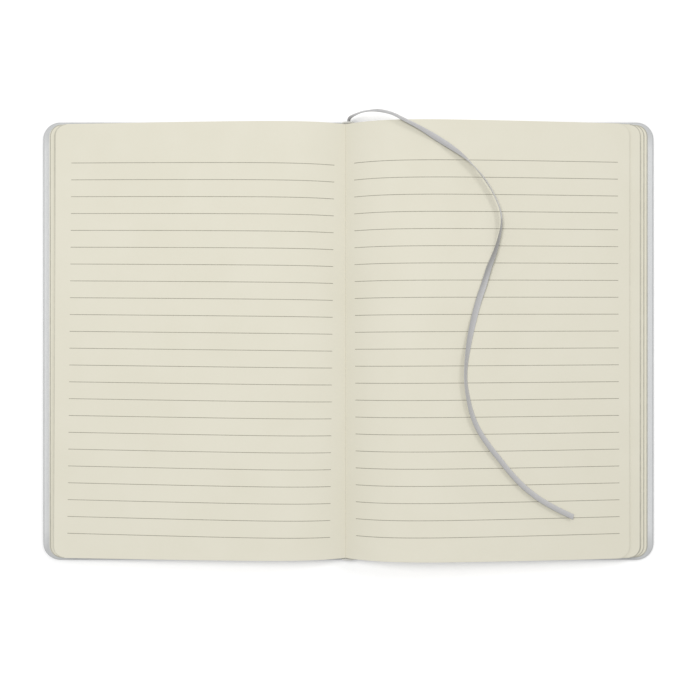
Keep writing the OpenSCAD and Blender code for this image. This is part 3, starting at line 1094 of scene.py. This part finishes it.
class NOTEBOOK_OT_leaves(bpy.types.Operator):
    """Stacks the leaves in thin bunches that fan out from the sewn spine"""

    bl_idname = "notebook.leaves"
    bl_label = "Leaves"

    def execute(self, context):
        leaves = context.scene.notebook_leaves
        rng = random.Random(BUNCH_SEED)
        bm = bmesh.new()
        leaf = bm.verts.layers.float.new("leaf")
        edge = bm.loops.layers.float.new("edge")
        for side, bunches in ((LEFT, leaves.left_bunches), (RIGHT, leaves.right_bunches)):
            flat = bmesh.new()
            flat_plate(flat, 0, side.leaf_d, PAGE_HALF, LEAF_CORNER_R)
            bmesh.ops.inset_region(flat, faces=flat.faces[:], thickness=RIM_W, use_boundary=True)
            cut_at(flat, "x", cut_places(side))
            thicken(flat, 1)
            flip_side(flat, side.sign)
            flat.verts.index_update()
            walls = [v.index for v in rim_of(flat)]
            pattern = bpy.data.meshes.new("leaf_pattern")
            flat.to_mesh(pattern)
            flat.free()
            done, faces_done = len(bm.verts), len(bm.faces)
            for k in range(bunches):
                low, high = k / bunches, (k + 1) / bunches
                middle = (low + high) / 2
                reach = side.leaf_d - side.drawn_in(middle) - rng.uniform(0, leaves.unevenness)
                head = PAGE_HALF - HEAD_DRAW_IN * middle - rng.uniform(0, leaves.unevenness)
                tail = PAGE_HALF - HEAD_DRAW_IN * middle - rng.uniform(0, leaves.unevenness)
                skew = rng.uniform(-1, 1) * leaves.unevenness
                bm.from_mesh(pattern)
                bm.verts.ensure_lookup_table()
                bm.faces.ensure_lookup_table()
                rim = {bm.verts[done + i] for i in walls}
                paint_rim_shade(bm.faces[faces_done:], edge, rim, side.leaf_d, 0.5,
                         BUNCH_RIM_SHADE, BUNCH_RIM_SHADE_HEAD)
                for v in bm.verts[done:]:
                    share = high if v.co.z > 0.5 else low
                    start = side.start(share, leaves.leaf_t)
                    d = start + abs(v.co.x) * (reach - start) / side.leaf_d
                    y = v.co.y * (head if v.co.y > 0 else tail) / PAGE_HALF
                    lift = share * (side.rise(d) - leaves.leaf_t)
                    gap = BUNCH_GAP if v.co.z > 0.5 else 0
                    v.co = (side.x(d + skew * y / PAGE_HALF * d / side.leaf_d), y, BASE_Z + lift - gap)
                    v[leaf] = share * bunches * LINES_PER_BUNCH
                done, faces_done = len(bm.verts), len(bm.faces)
            bpy.data.meshes.remove(pattern)
        paper = paper_material("leaf_edges", leaves.paper, 0.0005, leaves=True)
        obj = piece("leaf_stack", bm, paper, sharp=40)
        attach(obj, "book")
        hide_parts("text_block")
        return {"FINISHED"}


class NOTEBOOK_OT_open_pages(bpy.types.Operator):
    """Lays the two open leaves on the stacks, with a slight curl of their own"""

    bl_idname = "notebook.open_pages"
    bl_label = "Open pages"

    def execute(self, context):
        leaves = context.scene.notebook_leaves
        paper = paper_material("page_paper", leaves.paper, 0.0004)
        for side in SIDES:
            reach = side.edge_d
            slant = math.tan(math.radians(side.slant))
            bm = bmesh.new()
            edge = bm.loops.layers.float.new("edge")
            flat_plate(bm, 0, reach, PAGE_HALF - HEAD_DRAW_IN, LEAF_CORNER_R, segments=10)
            bmesh.ops.inset_region(bm, faces=bm.faces[:], thickness=RIM_W, use_boundary=True)
            cut_at(bm, "x", [d for d in cut_places(side) if d < reach - 1 * MM])
            cut_at(bm, "y", even_places(-PAGE_HALF, PAGE_HALF, PAGE_STEP))
            thicken(bm, leaves.leaf_t)
            paint_rim_shade(bm.faces[:], edge, rim_of(bm), reach, leaves.leaf_t / 2, side.rim_shade, 0.0)
            for v in bm.verts:
                y, sheet = v.co.y, v.co.z
                d = v.co.x * (1 - slant * y / reach)
                lift = side.rise(d) - leaves.leaf_t + sheet + ripple(side, d, y, leaves.curl)
                v.co = (side.sign * side.x(d), y, BASE_Z + lift)
            flip_side(bm, side.sign)
            obj = piece(f"{side.name}_open_page", bm, paper, sharp=60)
            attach(obj, "book")
        return {"FINISHED"}


class NOTEBOOK_OT_ruling(bpy.types.Operator):
    """Prints the ruled lines on the two open pages"""

    bl_idname = "notebook.ruling"
    bl_label = "Ruling"

    def execute(self, context):
        ruling = context.scene.notebook_ruling
        leaves = context.scene.notebook_leaves
        ink = ink_material(ruling.ink, leaves.paper)
        for side, node in ((LEFT, "front_ruling"), (RIGHT, "back_ruling")):
            margin, drop, slant = side.ruling
            middle = margin * MM + ruling.length / 2
            turn = math.radians(slant)
            bm = bmesh.new()
            for row in range(ruling.count):
                line = bmesh.new()
                flat_plate(line, -ruling.length / 2, ruling.length / 2, ruling.width / 2, 0)
                cut_at(line, "x", [d - middle for d in cut_places(side)])
                thicken(line, 1)
                place = (ruling.count - 1) * ruling.pitch / 2 - row * ruling.pitch
                for v in line.verts:
                    along, across = v.co.x, v.co.y + place
                    d = middle + along * math.cos(turn) - across * math.sin(turn)
                    y = -drop * MM + along * math.sin(turn) + across * math.cos(turn)
                    film = FILM_HIGH if v.co.z > 0.5 else FILM_LOW
                    lift = side.rise(d) + film + ripple(side, d, y, leaves.curl)
                    v.co = (side.sign * side.x(d), y, BASE_Z + lift)
                mesh = bpy.data.meshes.new("line")
                line.to_mesh(mesh)
                line.free()
                bm.from_mesh(mesh)
                bpy.data.meshes.remove(mesh)
            flip_side(bm, side.sign)
            obj = piece(f"{side.name}_ruled_lines", bm, ink, sharp=60)
            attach(obj, "book")
            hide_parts(node)
        return {"FINISHED"}


OPERATORS = (
    NOTEBOOK_OT_stage, NOTEBOOK_OT_ribbon, NOTEBOOK_OT_covers, NOTEBOOK_OT_spine,
    NOTEBOOK_OT_endpapers, NOTEBOOK_OT_inside, NOTEBOOK_OT_bands, NOTEBOOK_OT_leaves,
    NOTEBOOK_OT_open_pages, NOTEBOOK_OT_ruling,
)


class NOTEBOOK_PT_panel(bpy.types.Panel):
    """The notebook's settings and its steps, in order"""

    bl_idname = "NOTEBOOK_PT_panel"
    bl_label = "Ruled Notebook"
    bl_space_type = "VIEW_3D"
    bl_region_type = "UI"
    bl_category = "Notebook"

    def draw(self, context):
        for name, group in SETTINGS:
            box = self.layout.box()
            box.label(text=group.__doc__)
            for key in group.__annotations__:
                box.prop(getattr(context.scene, name), key)
        for operator in OPERATORS:
            self.layout.operator(operator.bl_idname)


def register():
    for name, group in SETTINGS:
        bpy.utils.register_class(group)
        setattr(bpy.types.Scene, name, PointerProperty(type=group))
    for cls in (*OPERATORS, NOTEBOOK_PT_panel):
        bpy.utils.register_class(cls)


def unregister():
    for cls in reversed((*OPERATORS, NOTEBOOK_PT_panel)):
        bpy.utils.unregister_class(cls)
    for name, group in reversed(SETTINGS):
        delattr(bpy.types.Scene, name)
        bpy.utils.unregister_class(group)


def main():
    register()
    bpy.ops.notebook.stage()
    bpy.ops.notebook.ribbon()
    bpy.ops.notebook.covers()
    bpy.ops.notebook.spine()
    bpy.ops.notebook.endpapers()
    bpy.ops.notebook.inside()
    bpy.ops.notebook.bands()
    bpy.ops.notebook.leaves()
    bpy.ops.notebook.open_pages()
    bpy.ops.notebook.ruling()


if __name__ == "__main__":
    main()
